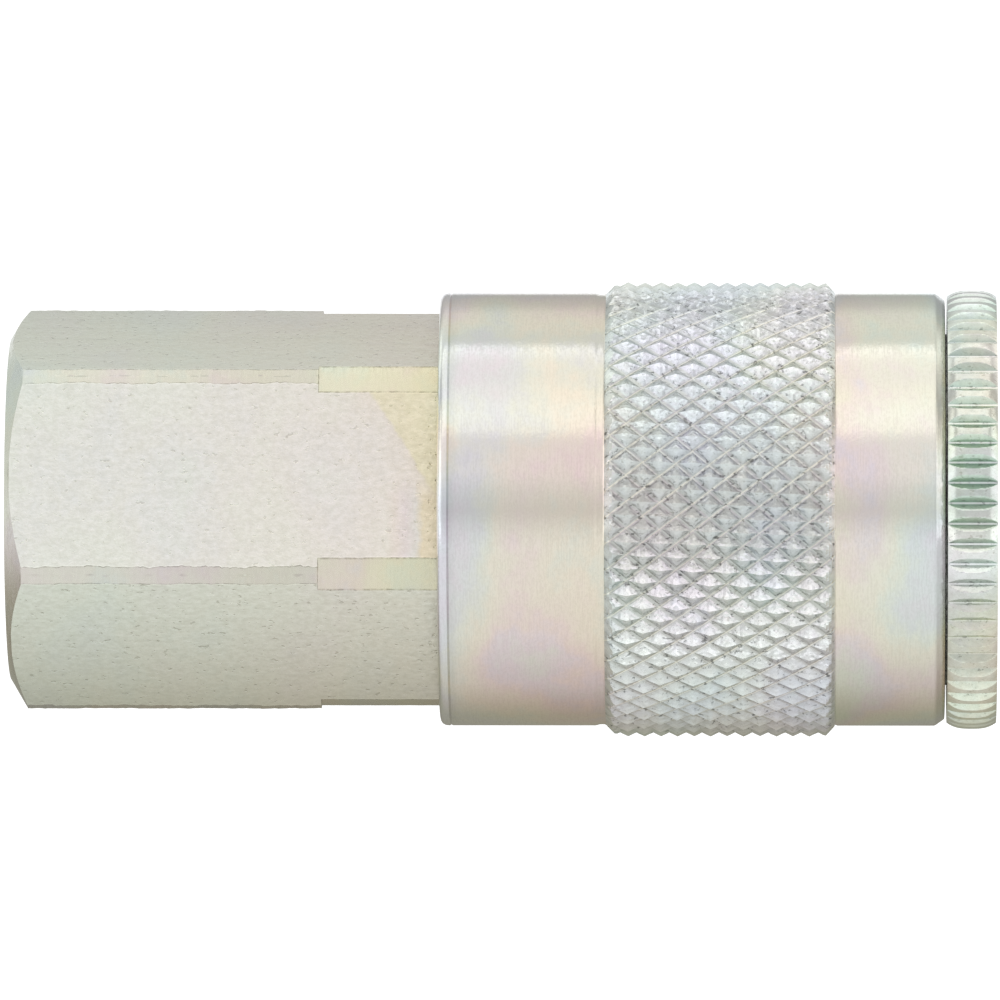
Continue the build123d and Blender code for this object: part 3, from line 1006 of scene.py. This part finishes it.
@dataclass
class HexBody:
    """The hexagonal thread-end body, with its corners turned down in two lengths."""

    half_flats: float = 10.499
    turned_radius: float = 11.823
    neck_radius: float = 11.583
    hex_length: float = 18.3
    length: float = 31.5
    chamfer: tuple[float, float] = (1.05, 1.8)
    port_radius: float = 8.5
    port_length: float = 12.0
    passage_radius: float = 6.8
    socket_radius: float = 8.999
    socket_start: float = 18.0
    thread_pitch: float = 1.411
    thread_depth: float = 1.1
    flat_cells: int = 18
    last_flat_column: float = 0.982
    corner_cells: int = 7
    chamfer_rows: int = 15
    bar_rows: int = 110
    neck_rows: int = 60
    even_row: int = 45
    bar_wander: float = 0.020
    neck_wander: float = 0.004
    neck_chamfer: float = 0.4
    mouth_length: float = 0.55
    mouth_rise: float = 0.45
    port_clear: float = 0.02
    port_fall: float = 0.35
    port_cone: float = 1.2
    thread_start: float = 0.9
    thread_short: float = 1.6
    thread_sink: float = 0.12
    crest_half: float = 0.09
    ridge_share: float = 0.94
    taper: float = 1 / 32
    steps_per_turn: int = 96
    flat_tilt: float = 0.6

    def build(self, finishes: Finishes) -> None:
        """Builds the body and its pipe thread.

        Args:
            finishes: The coupler's materials.
        """
        body = self._body()
        finishes.dress(body, "zinc_body")
        body.data.materials.append(finishes.made["zinc_turned"])
        self._mark_turned(body)
        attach(body, "housing")
        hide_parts("hex_body")
        thread = self._thread()
        finishes.dress(thread, "zinc_turned")
        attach(thread, "housing")
        LOG.info("hex body: %d and thread: %d faces", len(body.data.polygons), len(thread.data.polygons))

    def _outside(self) -> tuple[np.ndarray, np.ndarray, np.ndarray]:
        """Rows along the outside: place, turned radius, and how far the turned corner's edge wanders.

        Returns:
            The three, one value a row.
        """
        back, rise = self.chamfer
        step, stop = self.hex_length, self.length
        stretches = [
            np.linspace(0.0, back, self.chamfer_rows),
            np.linspace(back + 0.05, step - 0.03, self.bar_rows),
            [step, step],
            np.linspace(step + 0.04, stop - self.neck_chamfer, self.neck_rows),
            [stop],
        ]
        x = np.concatenate(stretches)
        full = self.turned_radius
        r = np.interp(x, [0.0, back, step], [full - rise, full, full])
        neck = np.arange(len(x)) > self.chamfer_rows + self.bar_rows
        r = np.where(neck, self.neck_radius, r)
        r[-1] = self.neck_radius - self.neck_chamfer
        wander = np.where(neck, self.neck_wander, np.where(x < back, 0.0, self.bar_wander))
        return x, r, wander

    def _half_flat(
        self, flat: int, side: int, x: np.ndarray, turned_r: np.ndarray, wander: np.ndarray
    ) -> tuple[np.ndarray, np.ndarray, np.ndarray]:
        """Half of one flat, with half of the turned corner beside it.

        The radius is the smaller of the turned radius and half the flats over the cosine of the angle from
        the flat's middle. Columns are gathered so that one always lies on the line where the two meet.

        Args:
            flat: The flat's number, from 0 to 5.
            side: 1 for the half with the larger angles, -1 for the other.
            x: Place of each row.
            turned_r: Turned radius of each row.
            wander: How far each row's edge wanders.

        Returns:
            The angle, the radius and the outline mark of each point.
        """
        half, corner = self.half_flats, math.pi / 6
        long_waves = uneven(x, 11 * flat + side + 5, 1.0, 6.0)
        short_waves = uneven(x, 31 * flat + side + 50, 0.35, 1.1)
        r = turned_r + long_waves * wander + short_waves * wander
        meet = np.arccos(np.clip(half / np.maximum(r, half), -1, 1))[:, None]
        on_flat = np.linspace(0, self.last_flat_column, self.flat_cells)
        on_turn = np.linspace(0, 1, self.corner_cells + 1)[:-1]
        away = np.concatenate([on_flat * meet, meet + on_turn * (corner - meet)], axis=1)
        radius = np.minimum(r[:, None], half / np.cos(away))
        step_face = (x[:, None] == self.hex_length) & (away >= meet)
        edge = np.isclose(away, meet) | step_face
        if side < 0:
            edge = np.concatenate([edge[:, -1:], edge[:, :0:-1]], axis=1)
            away = np.concatenate([np.full((len(x), 1), corner), away[:, :0:-1]], axis=1)
            radius = np.concatenate([turned_r[:, None], radius[:, :0:-1]], axis=1)
        return math.radians(30 + 60 * flat) + side * away, radius, edge

    def _body(self) -> Piece:
        """The hexagon cut by the turned outline, with the port, passage and socket inside.

        Returns:
            The new object.
        """
        x, turned_r, wander = self._outside()
        halves = [self._half_flat(flat, side, x, turned_r, wander) for flat in range(6) for side in (-1, 1)]
        angle, radius, edge = (np.concatenate(parts, axis=1) for parts in zip(*halves))
        inside = [
            (self.length, self.socket_radius),
            (self.socket_start, self.socket_radius),
            (self.socket_start, self.passage_radius),
            (self.port_length + self.port_cone, self.passage_radius),
            (self.port_length, self.port_radius - self.port_fall),
            (self.mouth_length, self.port_radius + self.port_clear),
            (0.0, self.port_radius + self.mouth_rise),
        ]
        ix, ir = np.array(inside).T
        inner = around(ix[:, None], ir[:, None], angle[self.even_row][None, :])
        points = np.concatenate([around(x[:, None], radius, angle), inner])
        body = add_piece("hex_body_shell", points, cell_quads(*points.shape[:2]), smooth_below=16)
        edge = edge.astype(float)
        edge[x < self.chamfer[0] + 0.1] = 0.0
        mark(body, "edge", np.concatenate([edge, np.zeros(inner.shape[:2])]))
        return body

    def _mark_turned(self, body: Piece) -> None:
        """Gives every face that doesn't lie along a flat the lathe finish: the corners, ends and inside.

        Args:
            body: The hex body.
        """
        mesh = body.data
        normals = np.zeros(len(mesh.polygons) * 3)
        mesh.polygons.foreach_get("normal", normals)
        normals, centres = normals.reshape(-1, 3), face_centres(body)
        turn = np.degrees(np.arctan2(normals[:, 2], -normals[:, 1]))
        off_flat = np.abs(turn % 60 - 30)
        outwards = np.einsum("ij,ij->i", normals[:, 1:], centres[:, 1:]) > 0
        flat = outwards & (off_flat < self.flat_tilt) & (np.abs(normals[:, 0]) < 0.05)
        mesh.polygons.foreach_set("material_index", np.where(flat, 0, 1).astype(np.int32))
        mesh.update()

    def _thread(self) -> Piece:
        """The taper pipe thread: a blunt V ridge on a helix whose radius falls by the taper times its length.

        Returns:
            The new object.
        """
        turns = (self.port_length - self.thread_short) / self.thread_pitch
        steps = int(turns * self.steps_per_turn)
        t = np.linspace(0, 1, steps)
        x = self.thread_start + t * turns * self.thread_pitch
        angle = t * turns * 2 * math.pi
        root = self.port_radius + self.port_clear - (x - self.mouth_length) * self.taper
        fade = np.clip(np.minimum(t * turns * 1.5, (1 - t) * turns * 1.5), 0.04, 1)
        depth = self.thread_depth * fade
        half, crest, sink = 0.5 * self.thread_pitch * self.ridge_share, self.crest_half, self.thread_sink
        along, out = np.array([(-half, sink), (-crest, -1.0), (crest, -1.0), (half, sink)]).T
        sx = x[:, None] + along
        sr = root[:, None] + np.where(out > 0, out, out * depth[:, None])
        points = around(sx, sr, angle[:, None]).reshape(-1, 3)
        body = cell_quads(steps, 4, wrap_rows=False)
        last = (steps - 1) * 4
        ends = np.array([[0, 1, 2, 3], [last + 3, last + 2, last + 1, last]])
        return add_piece("inlet_thread_ridge", points, np.concatenate([body, ends]), smooth_below=25)


@dataclass
class Sleeve:
    """The pull-back sleeve: a turned shell with a raised band of crossed knurling."""

    rear: float = 25.25
    front: float = 54.84
    radius: float = 12.703
    knurl_radius: float = 13.353
    knurl_rear: float = 35.0
    knurl_front: float = 48.4
    skirt_bore: float = 11.633
    land_radius: float = 8.979
    land_rear: float = 44.443
    land_front: float = 47.043
    cone_end: float = 52.323
    cone_end_radius: float = 10.035
    counterbore: float = 10.394
    rows_of_diamonds: int = 52
    pitch_along: float = 1.936
    steps_per_pitch: int = 12
    lean: float = 0.04
    deep: float = 0.44
    shallow: float = 0.415
    flat_share: float = 1 / 30
    offsets: tuple[int, int] = (5, 3)
    roll_noise: float = 0.006
    roll_seed: int = 3
    relief: float = 0.07
    bevel: float = 0.25

    def build(self, finishes: Finishes) -> None:
        """Builds the shell and the knurled band.

        Args:
            finishes: The coupler's materials.
        """
        shell = self._shell()
        finishes.dress(shell, "zinc_sleeve")
        # The inner faces take the dark zinc, painted shade inside the sleeve.
        shell.data.materials.append(finishes.made["zinc_gap_shade"])
        centres = face_centres(shell)
        inner = np.hypot(centres[:, 1], centres[:, 2]) < (self.skirt_bore + 0.1) * MM
        shell.data.polygons.foreach_set("material_index", inner.astype(np.int32))
        knurl = self._knurl()
        finishes.dress(knurl, "zinc_knurl")
        for piece in (shell, knurl):
            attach(piece, "sleeve")
        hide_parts("sleeve")
        faces = [len(piece.data.polygons) for piece in (shell, knurl)]
        LOG.info("sleeve shell: %d and knurl: %d faces", *faces)

    def _shell(self) -> Piece:
        """The plain sleeve, with a fine relief line beside each end of the band.

        Returns:
            The new object.
        """
        r, s, low = self.radius, self.skirt_bore, self.radius - self.relief
        rear, front, bevel = self.rear, self.front, self.bevel
        band_rear, band_front = self.knurl_rear, self.knurl_front
        rear_lip = [(rear, s + bevel), (rear, r), (rear + 0.58, r), (rear + 0.64, low), (rear + 0.71, r)]
        band = [
            (band_rear - 0.62, r),
            (band_rear - 0.40, low),
            (band_rear - 0.10, low),
            (band_rear + 0.12, r + 0.05),
            (band_front - 0.20, r + 0.05),
            (band_front + 0.02, r - 0.05),
            (band_front + 0.16, r),
        ]
        front_face = [(front - 0.56, r), (front, r - 0.40), (front, r - 0.95)]
        inside = [
            (front, self.counterbore + bevel),
            (front - bevel, self.counterbore),
            (self.cone_end, self.counterbore),
            (self.cone_end, self.cone_end_radius),
            (self.land_front, self.land_radius),
            (self.land_rear, self.land_radius),
            (self.land_rear, s),
            (rear + bevel, s),
        ]
        cuts = {1: 0.5, 5: 0.08, 6: 0.08, 7: 0.08, 12: 0.1, 13: 0.06}
        profile = eased(rear_lip + band + front_face + inside, cuts, steps=8)
        return turned("sleeve_shell", profile, columns=288)

    def _knurl(self) -> Piece:
        """The knurled band.

        Two families of grooves cross it. With a = x/p - s/c and b = x/p + s/c, where p and c are the pitches
        along and round the band, each groove is a V centred where a or b is whole: its depth falls evenly to
        nothing half a pitch away, and its bottom is cut flat. The surface is the band's chamfered outline less
        the deeper of the two. Grid steps divide both pitches, so every groove and crest lies on a cell's side
        or diagonal, and each cell is cut along the groove it lies in.

        Returns:
            The new object.
        """
        n, total = self.steps_per_pitch, self.rows_of_diamonds * self.steps_per_pitch
        first_a, first_b = self.offsets
        step = self.pitch_along / n
        start, stop = self.knurl_rear - 0.02, self.knurl_front
        rows = int(round((stop - start) / step)) + 1
        x = start + np.arange(rows) * step
        x[-1] = stop
        i, j = np.meshgrid(np.arange(rows), np.arange(total), indexing="ij")
        a, b = (i - j + first_a) / n, (i + j + first_b) / n
        off_a, off_b = np.abs(a - np.round(a)) * 2, np.abs(b - np.round(b)) * 2
        slope = self.deep / (1 - 2 * self.flat_share)
        cut_a = np.minimum(slope * (1 - off_a), self.deep)
        cut_b = np.minimum(slope * (1 - off_b), self.shallow)
        depth = np.maximum(cut_a, cut_b)
        crown_places = [start, start + 0.66, stop - 0.55, stop]
        crown_radii = [self.radius - 0.02, self.knurl_radius, self.knurl_radius, self.radius + 0.03]
        crown = np.interp(x, crown_places, crown_radii)[:, None]
        rolled = np.random.default_rng(self.roll_seed).normal(0.0, self.roll_noise, i.shape)
        radius = np.minimum(crown, self.knurl_radius - depth + rolled)
        angle = 2 * math.pi * j / total - self.lean * (x[:, None] - x[0]) / self.knurl_radius
        outside = around(x[:, None], radius, angle)
        inner = around(np.array([stop, start])[:, None], np.full((2, 1), self.radius - 0.3), angle[[-1, 0]])
        # A cell's middle is half a step on both ways, which moves b by a whole step and leaves a as it is.
        mid_b = (i + j + first_b + 1) / n
        along = np.zeros((rows + 2, total), bool)
        along[:rows] = np.abs(a - np.round(a)) < np.abs(mid_b - np.round(mid_b))
        faces = split_quads(cell_quads(rows + 2, total), along.ravel())
        knurl = add_piece("sleeve_knurl", np.concatenate([outside, inner]), faces, smooth_below=0)
        mark(knurl, "cut", np.concatenate([depth / self.deep, np.zeros((2, total))]))
        return knurl


@dataclass
class NoseRing:
    """The fluted ring at the plug mouth."""

    hub_rear: float = 52.373
    hub_radius: float = 10.314
    rear: float = 54.97
    front: float = 57.87
    crown_radius: float = 12.885
    crown_drop: float = 0.36
    flutes: int = 66
    flute_depth: float = 0.36
    bottom_half: float = 0.055
    top_half: float = 0.43
    bore: float = 8.42
    recess_radius: float = 9.899
    recess_rear: float = 56.22
    steps_per_flute: int = 20
    first_flute: float = -1.1
    crown_rows: int = 61
    bevel: float = 0.3
    hub_bevel: float = 0.2

    def build(self, finishes: Finishes) -> None:
        """Builds the ring.

        Args:
            finishes: The coupler's materials.
        """
        ring = self._ring()
        finishes.dress(ring, "zinc_ring")
        self._part_faces(ring, finishes)
        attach(ring, "housing")
        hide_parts("nose_ring")
        LOG.info("nose ring: %d faces", len(ring.data.polygons))

    def _part_faces(self, ring: Piece, finishes: Finishes) -> None:
        """Gives the front face, recess and bore the lathe finish, and the hub and rear face the dark zinc that
        paints shade in the gap.

        Args:
            ring: The ring.
            finishes: The coupler's materials.
        """
        lathe_index, gap_shade_index = 1, 2
        for finish in ("zinc_turned", "zinc_gap_shade"):
            ring.data.materials.append(finishes.made[finish])
        centres = face_centres(ring)
        x, r = centres[:, 0] / MM, np.hypot(centres[:, 1], centres[:, 2]) / MM
        lathe = (x > self.front - 0.01) | (r < self.recess_radius + 0.01)
        # Painted shade on the hub and rear face, darkening the gap behind the ring.
        gap_shade = (r > self.bore + 0.1) & (r < self.recess_radius + 1.2) & (x < self.rear + 0.01)
        index = np.where(gap_shade, gap_shade_index, np.where(lathe, lathe_index, 0))
        ring.data.polygons.foreach_set("material_index", index.astype(np.int32))
        ring.data.update()

    def _ring(self) -> Piece:
        """The ring's closed profile carried round, each flute a V with a narrow flat bottom cut in the crown.

        The crown's radius drops from its middle by the cube of the distance from it, so the flutes fade out
        at both ends. Columns are gathered on the flutes' sides, with the rest spread over the tops.

        Returns:
            The new object.
        """
        u = np.sin(np.linspace(-1, 1, self.crown_rows) * math.pi / 2)
        middle, half = (self.rear + self.front) / 2, (self.front - self.rear) / 2
        crown_x = middle + u * half
        crown_r = self.crown_radius - self.crown_drop * np.abs(u) ** 3
        profile = [
            (self.recess_rear, self.bore),
            (self.hub_rear, self.bore),
            (self.hub_rear, self.hub_radius - self.hub_bevel),
            (self.hub_rear + self.hub_bevel, self.hub_radius),
            (self.rear, self.hub_radius),
            *zip(crown_x, crown_r),
            (self.front, self.recess_radius + self.bevel),
            (self.front - self.bevel, self.recess_radius),
            (self.recess_rear, self.recess_radius),
        ]
        x, r = np.array(profile, float).T
        n = self.steps_per_flute
        pitch = 2 * math.pi * self.crown_radius / self.flutes
        side = np.linspace(self.bottom_half, self.top_half, 8)
        between = np.linspace(0, 1, n - 2 * len(side) + 2)[1:-1] * (pitch - 2 * self.top_half)
        local = np.concatenate([-side[::-1], side, self.top_half + between])
        across = (np.arange(self.flutes)[:, None] * pitch + local[None, :]).ravel()
        angle = across / self.crown_radius + math.radians(self.first_flute)
        away = np.abs((across + pitch / 2) % pitch - pitch / 2)
        slope = self.flute_depth / (self.top_half - self.bottom_half)
        floor = self.crown_radius - self.flute_depth + np.maximum(away - self.bottom_half, 0) * slope
        floor = np.where(away >= self.top_half - 1e-6, self.crown_radius + 1, floor)
        radius = np.minimum(r[:, None], floor[None, :])
        points = around(x[:, None], radius, angle[None, :])
        ring = add_piece("nose_ring_fluted", points, cell_quads(len(x), len(angle)), smooth_below=12)
        crown = (r > self.crown_radius - self.crown_drop - 0.01)[:, None]
        cut = np.where(crown, (self.crown_radius - floor[None, :]) / self.flute_depth, 0.0)
        mark(ring, "cut", cut * (radius < r[:, None] - 1e-6))
        return ring


@dataclass
class Spring:
    """A compression spring wound as a wire on a helix."""

    name: str
    node: str
    body: str
    joint: str
    start: float
    stop: float
    coil_radius: float
    wire_radius: float
    travel: float
    turns: int = 5
    steps_per_turn: int = 72

    def build(self, finishes: Finishes) -> None:
        """Builds the wire and attaches it to its body.

        The middle of the wire is a helix: its place along the axis grows evenly and is held one wire radius
        inside each end, so the end coils lie flat.

        Args:
            finishes: The coupler's materials.
        """
        length, wire = self.stop - self.start, self.wire_radius
        t = np.linspace(0, 1, self.turns * self.steps_per_turn + 1)
        x = np.clip(self.start + length * t, self.start + wire, self.stop - wire)
        path = around(x, self.coil_radius, 2 * math.pi * self.turns * t)
        spring = tube_along(self.name, path, wire)
        finishes.dress(spring, "spring_steel")
        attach(spring, self.body)
        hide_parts(self.node)
        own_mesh(spring)
        LOG.info("%s: %d faces", self.name, len(spring.data.polygons))


class CarriedOver:
    """Frame nodes that keep their own meshes and only take finishes."""

    finish_by_node = {
        "barrel": "zinc_turned",
        "body_seal": "seal_rubber",
        "nose_snap_ring": "spring_steel",
        "valve_poppet": "valve_brass",
        "valve_seal": "seal_rubber",
        "valve_guide": "valve_brass",
        "guide_retaining_ring": "spring_steel",
        "plug_seal": "seal_rubber",
        "plug_seal_backup": "backup_white",
        **{f"ball_{k}": "ball_steel" for k in range(1, 9)},
    }

    def dress(self, finishes: Finishes) -> None:
        """Gives each node its finish.

        Args:
            finishes: The coupler's materials.
        """
        for name, finish in self.finish_by_node.items():
            finishes.dress_node(frame["nodes"][name], finish)
        LOG.info("dressed %d carried-over nodes", len(self.finish_by_node))


# ---------------------------------------------------------------------------------------------- studio


@dataclass
class Studio:
    """Pale floor, soft light from all round and the camera."""

    floor_height: float = -0.045
    camera_distance: float = 1.0
    camera_elevation: float = 19.0
    camera_x: float = 47.5
    roll: float = -0.03
    middle_x: float = 28.72
    middle_up: float = -0.55
    picture_width: float = 58.8
    card_height: float = -13.6
    card_fade: float = 40.0
    # Painted shadow of the coupler on the card: darkest right under it, paler away from it.
    card_painted_shadow: Stops = (
        (0.0, (0.28, 0.27, 0.22)), (5.4, (0.38, 0.38, 0.32)), (7.4, (0.48, 0.46, 0.42)),
        (9.1, (0.57, 0.56, 0.53)), (10.8, (0.66, 0.66, 0.65)), (12.5, (0.70, 0.71, 0.71)),
        (14.8, (0.77, 0.79, 0.79)), (20.0, (0.86, 0.90, 0.90)), (40.0, (0.91, 0.95, 0.96)),
    )
    sky: Stops = (
        (-180, (0.46, 0.48, 0.47)), (-150, (0.40, 0.40, 0.36)), (-122, (0.38, 0.38, 0.32)),
        (-108, (0.47, 0.45, 0.41)), (-97, (0.56, 0.54, 0.51)), (-79, (0.68, 0.69, 0.68)),
        (-64, (0.75, 0.79, 0.79)), (-50, (0.87, 0.91, 0.91)), (-20, (0.91, 0.96, 0.97)),
        (0, (0.92, 0.96, 0.98)), (8, (0.84, 0.87, 0.89)), (18, (0.70, 0.71, 0.73)),
        (28, (0.78, 0.79, 0.82)), (38, (0.92, 0.89, 0.95)), (57, (0.92, 0.89, 0.95)),
        (62, (1.16, 1.14, 1.14)), (70, (1.19, 1.20, 1.20)), (84, (1.14, 1.13, 1.10)),
        (94, (1.07, 1.07, 1.06)), (106, (1.10, 1.10, 1.09)), (115, (1.26, 1.28, 1.30)),
        (119, (0.78, 0.80, 0.79)), (134, (0.83, 0.85, 0.83)), (148, (0.80, 0.82, 0.80)),
        (160, (0.60, 0.62, 0.60)), (180, (0.46, 0.48, 0.47)),
    )
    short_strength: float = -0.45
    wing_strength: float = 0.52
    behind_strength: float = 0.5
    lens_width: float = 36.0

    def build(self) -> None:
        """Builds the floor, the card, the light and the camera."""
        self._floor()
        self._card()
        self._light()
        self._camera()
        bpy.context.scene.view_settings.view_transform = "Standard"
        LOG.info("studio ready")

    def _sheet(self, name: str, material: bpy.types.Material, reach: float, height: float) -> Piece:
        """A level square sheet under the coupler.

        Args:
            name: The sheet's name.
            material: Its material.
            reach: Half its width, in metres.
            height: Its height, in metres.

        Returns:
            The new object.
        """
        mesh = bpy.data.meshes.new(name)
        corners = [(-1, -1), (1, -1), (1, 1), (-1, 1)]
        mesh.from_pydata([(x * reach, y * reach, height) for x, y in corners], [], [(0, 1, 2, 3)])
        mesh.materials.append(material)
        sheet = bpy.data.objects.new(name, mesh)
        bpy.context.scene.collection.objects.link(sheet)
        return sheet

    def _floor(self) -> None:
        """A large pale sheet below the coupler."""
        material, n, shader = new_material("pale floor")
        n.feed(shader, Base_Color=(0.9, 0.9, 0.9, 1), Roughness=0.9)
        n.feed(shader, Emission_Color=(1, 1, 1, 1), Emission_Strength=0.32)
        floor = self._sheet("floor", material, reach=40.0, height=self.floor_height)
        floor.visible_glossy = False

    def _card(self) -> None:
        """A card below the coupler, seen only in its metal, with the coupler's shadow painted on it: dark
        under the coupler and paler away from it.
        """
        material = bpy.data.materials.new("card with painted shadow")
        material.use_nodes = True
        n = Nodes(material.node_tree)
        aside = n.maths("ABSOLUTE", n.parts(n.place())[1])
        # The coupler's painted shadow, read by the distance across from the axis.
        shades = [(y / self.card_fade, c) for y, c in self.card_painted_shadow]
        glow = n.feed(n.put("Emission"), Color=n.ramp(n.span(aside, 0.0, self.card_fade), shades))
        n.link(glow.outputs[0], n.put("OutputMaterial").inputs[0])
        card = self._sheet("card", material, reach=0.3, height=self.card_height * MM)
        card.visible_camera = False
        card.visible_diffuse = False
        card.visible_shadow = False

    def _light(self) -> None:
        """Soft light: a ramp read by the angle about X, atan2(z, -y), and a strength that varies with x too.

        The light is weaker near both ends of the sky overhead (short), and stronger towards both ends in
        front (wings) and behind.
        """
        world = bpy.data.worlds.new("soft studio")
        bpy.context.scene.world = world
        world.use_nodes = True
        n = Nodes(world.node_tree)
        x, y, z = n.parts(n.put("TexCoord").outputs["Generated"])
        turn = n.maths("ARCTAN2", z, n.maths("MULTIPLY", y, -1.0))
        place = n.maths("MULTIPLY_ADD", turn, 1 / (2 * math.pi), 0.5)
        colour = n.ramp(place, [((a + 180) / 360, c) for a, c in self.sky])
        aside = n.maths("ABSOLUTE", x)
        over = n.maths("MULTIPLY", n.between(turn, 1.0, 1.1), n.between(turn, 2.0, 2.1, 1.0, 0.0))
        short = n.maths("MULTIPLY", over, n.between(aside, 0.42, 0.6))
        wings = n.maths("MULTIPLY", n.between(aside, 0.55, 0.75), n.between(y, -0.15, 0.15, 1.0, 0.0))
        behind = n.maths("MULTIPLY", n.between(aside, 0.45, 0.65), n.between(y, 0.3, 0.6))
        strength = n.maths("MULTIPLY_ADD", short, self.short_strength, 1.0)
        strength = n.maths("MULTIPLY_ADD", wings, self.wing_strength, strength)
        strength = n.maths("MULTIPLY_ADD", behind, self.behind_strength, strength)
        back = n.put("Background")
        n.feed(back, Color=colour, Strength=strength)
        n.link(back.outputs[0], n.put("OutputWorld").inputs[0])

    def _camera(self) -> None:
        """A long lens, square to the axis near the plug end."""
        data = bpy.data.cameras.new("camera")
        camera = bpy.data.objects.new("camera", data)
        bpy.context.scene.collection.objects.link(camera)
        tilt = math.radians(self.camera_elevation)
        back = Vector((0, -math.cos(tilt), math.sin(tilt)))
        up = Vector((0, math.sin(tilt), math.cos(tilt)))
        lower = up * (self.middle_up * MM)
        aim = Vector((self.middle_x * MM, 0, 0)) - lower
        eye = Vector((self.camera_x * MM, 0, 0)) + back * self.camera_distance - lower
        look = (aim - eye).normalized()
        camera.rotation_mode = "QUATERNION"
        camera.location = eye
        spin = Matrix.Rotation(math.radians(self.roll), 3, look)
        right = look.cross(up).normalized()
        square_up = spin @ right.cross(look)
        right = look.cross(square_up)
        camera.rotation_quaternion = Matrix((right, square_up, -look)).transposed().to_quaternion()
        data.sensor_width = self.lens_width
        data.lens = self.lens_width * (eye - aim).length / (self.picture_width * MM)
        data.clip_start, data.clip_end = 0.01, 100.0
        bpy.context.scene.camera = camera


def main() -> None:
    """Builds every part in order, then the studio."""
    logging.basicConfig(level=logging.INFO, format="%(message)s")
    finishes = Finishes()
    HexBody().build(finishes)
    Sleeve().build(finishes)
    NoseRing().build(finishes)
    Spring(
        "sleeve_spring_wire",
        "sleeve_spring",
        "spring_carrier",
        "sleeve_slide",
        start=31.55,
        stop=44.393,
        coil_radius=9.729,
        wire_radius=0.6,
        travel=4.9,
    ).build(finishes)
    Spring(
        "valve_spring_wire",
        "valve_spring",
        "valve",
        "valve_slide",
        start=21.532,
        stop=30.158,
        coil_radius=3.55,
        wire_radius=0.4,
        travel=3.5,
    ).build(finishes)
    CarriedOver().dress(finishes)
    Studio().build()


if __name__ == "__main__":
    main()
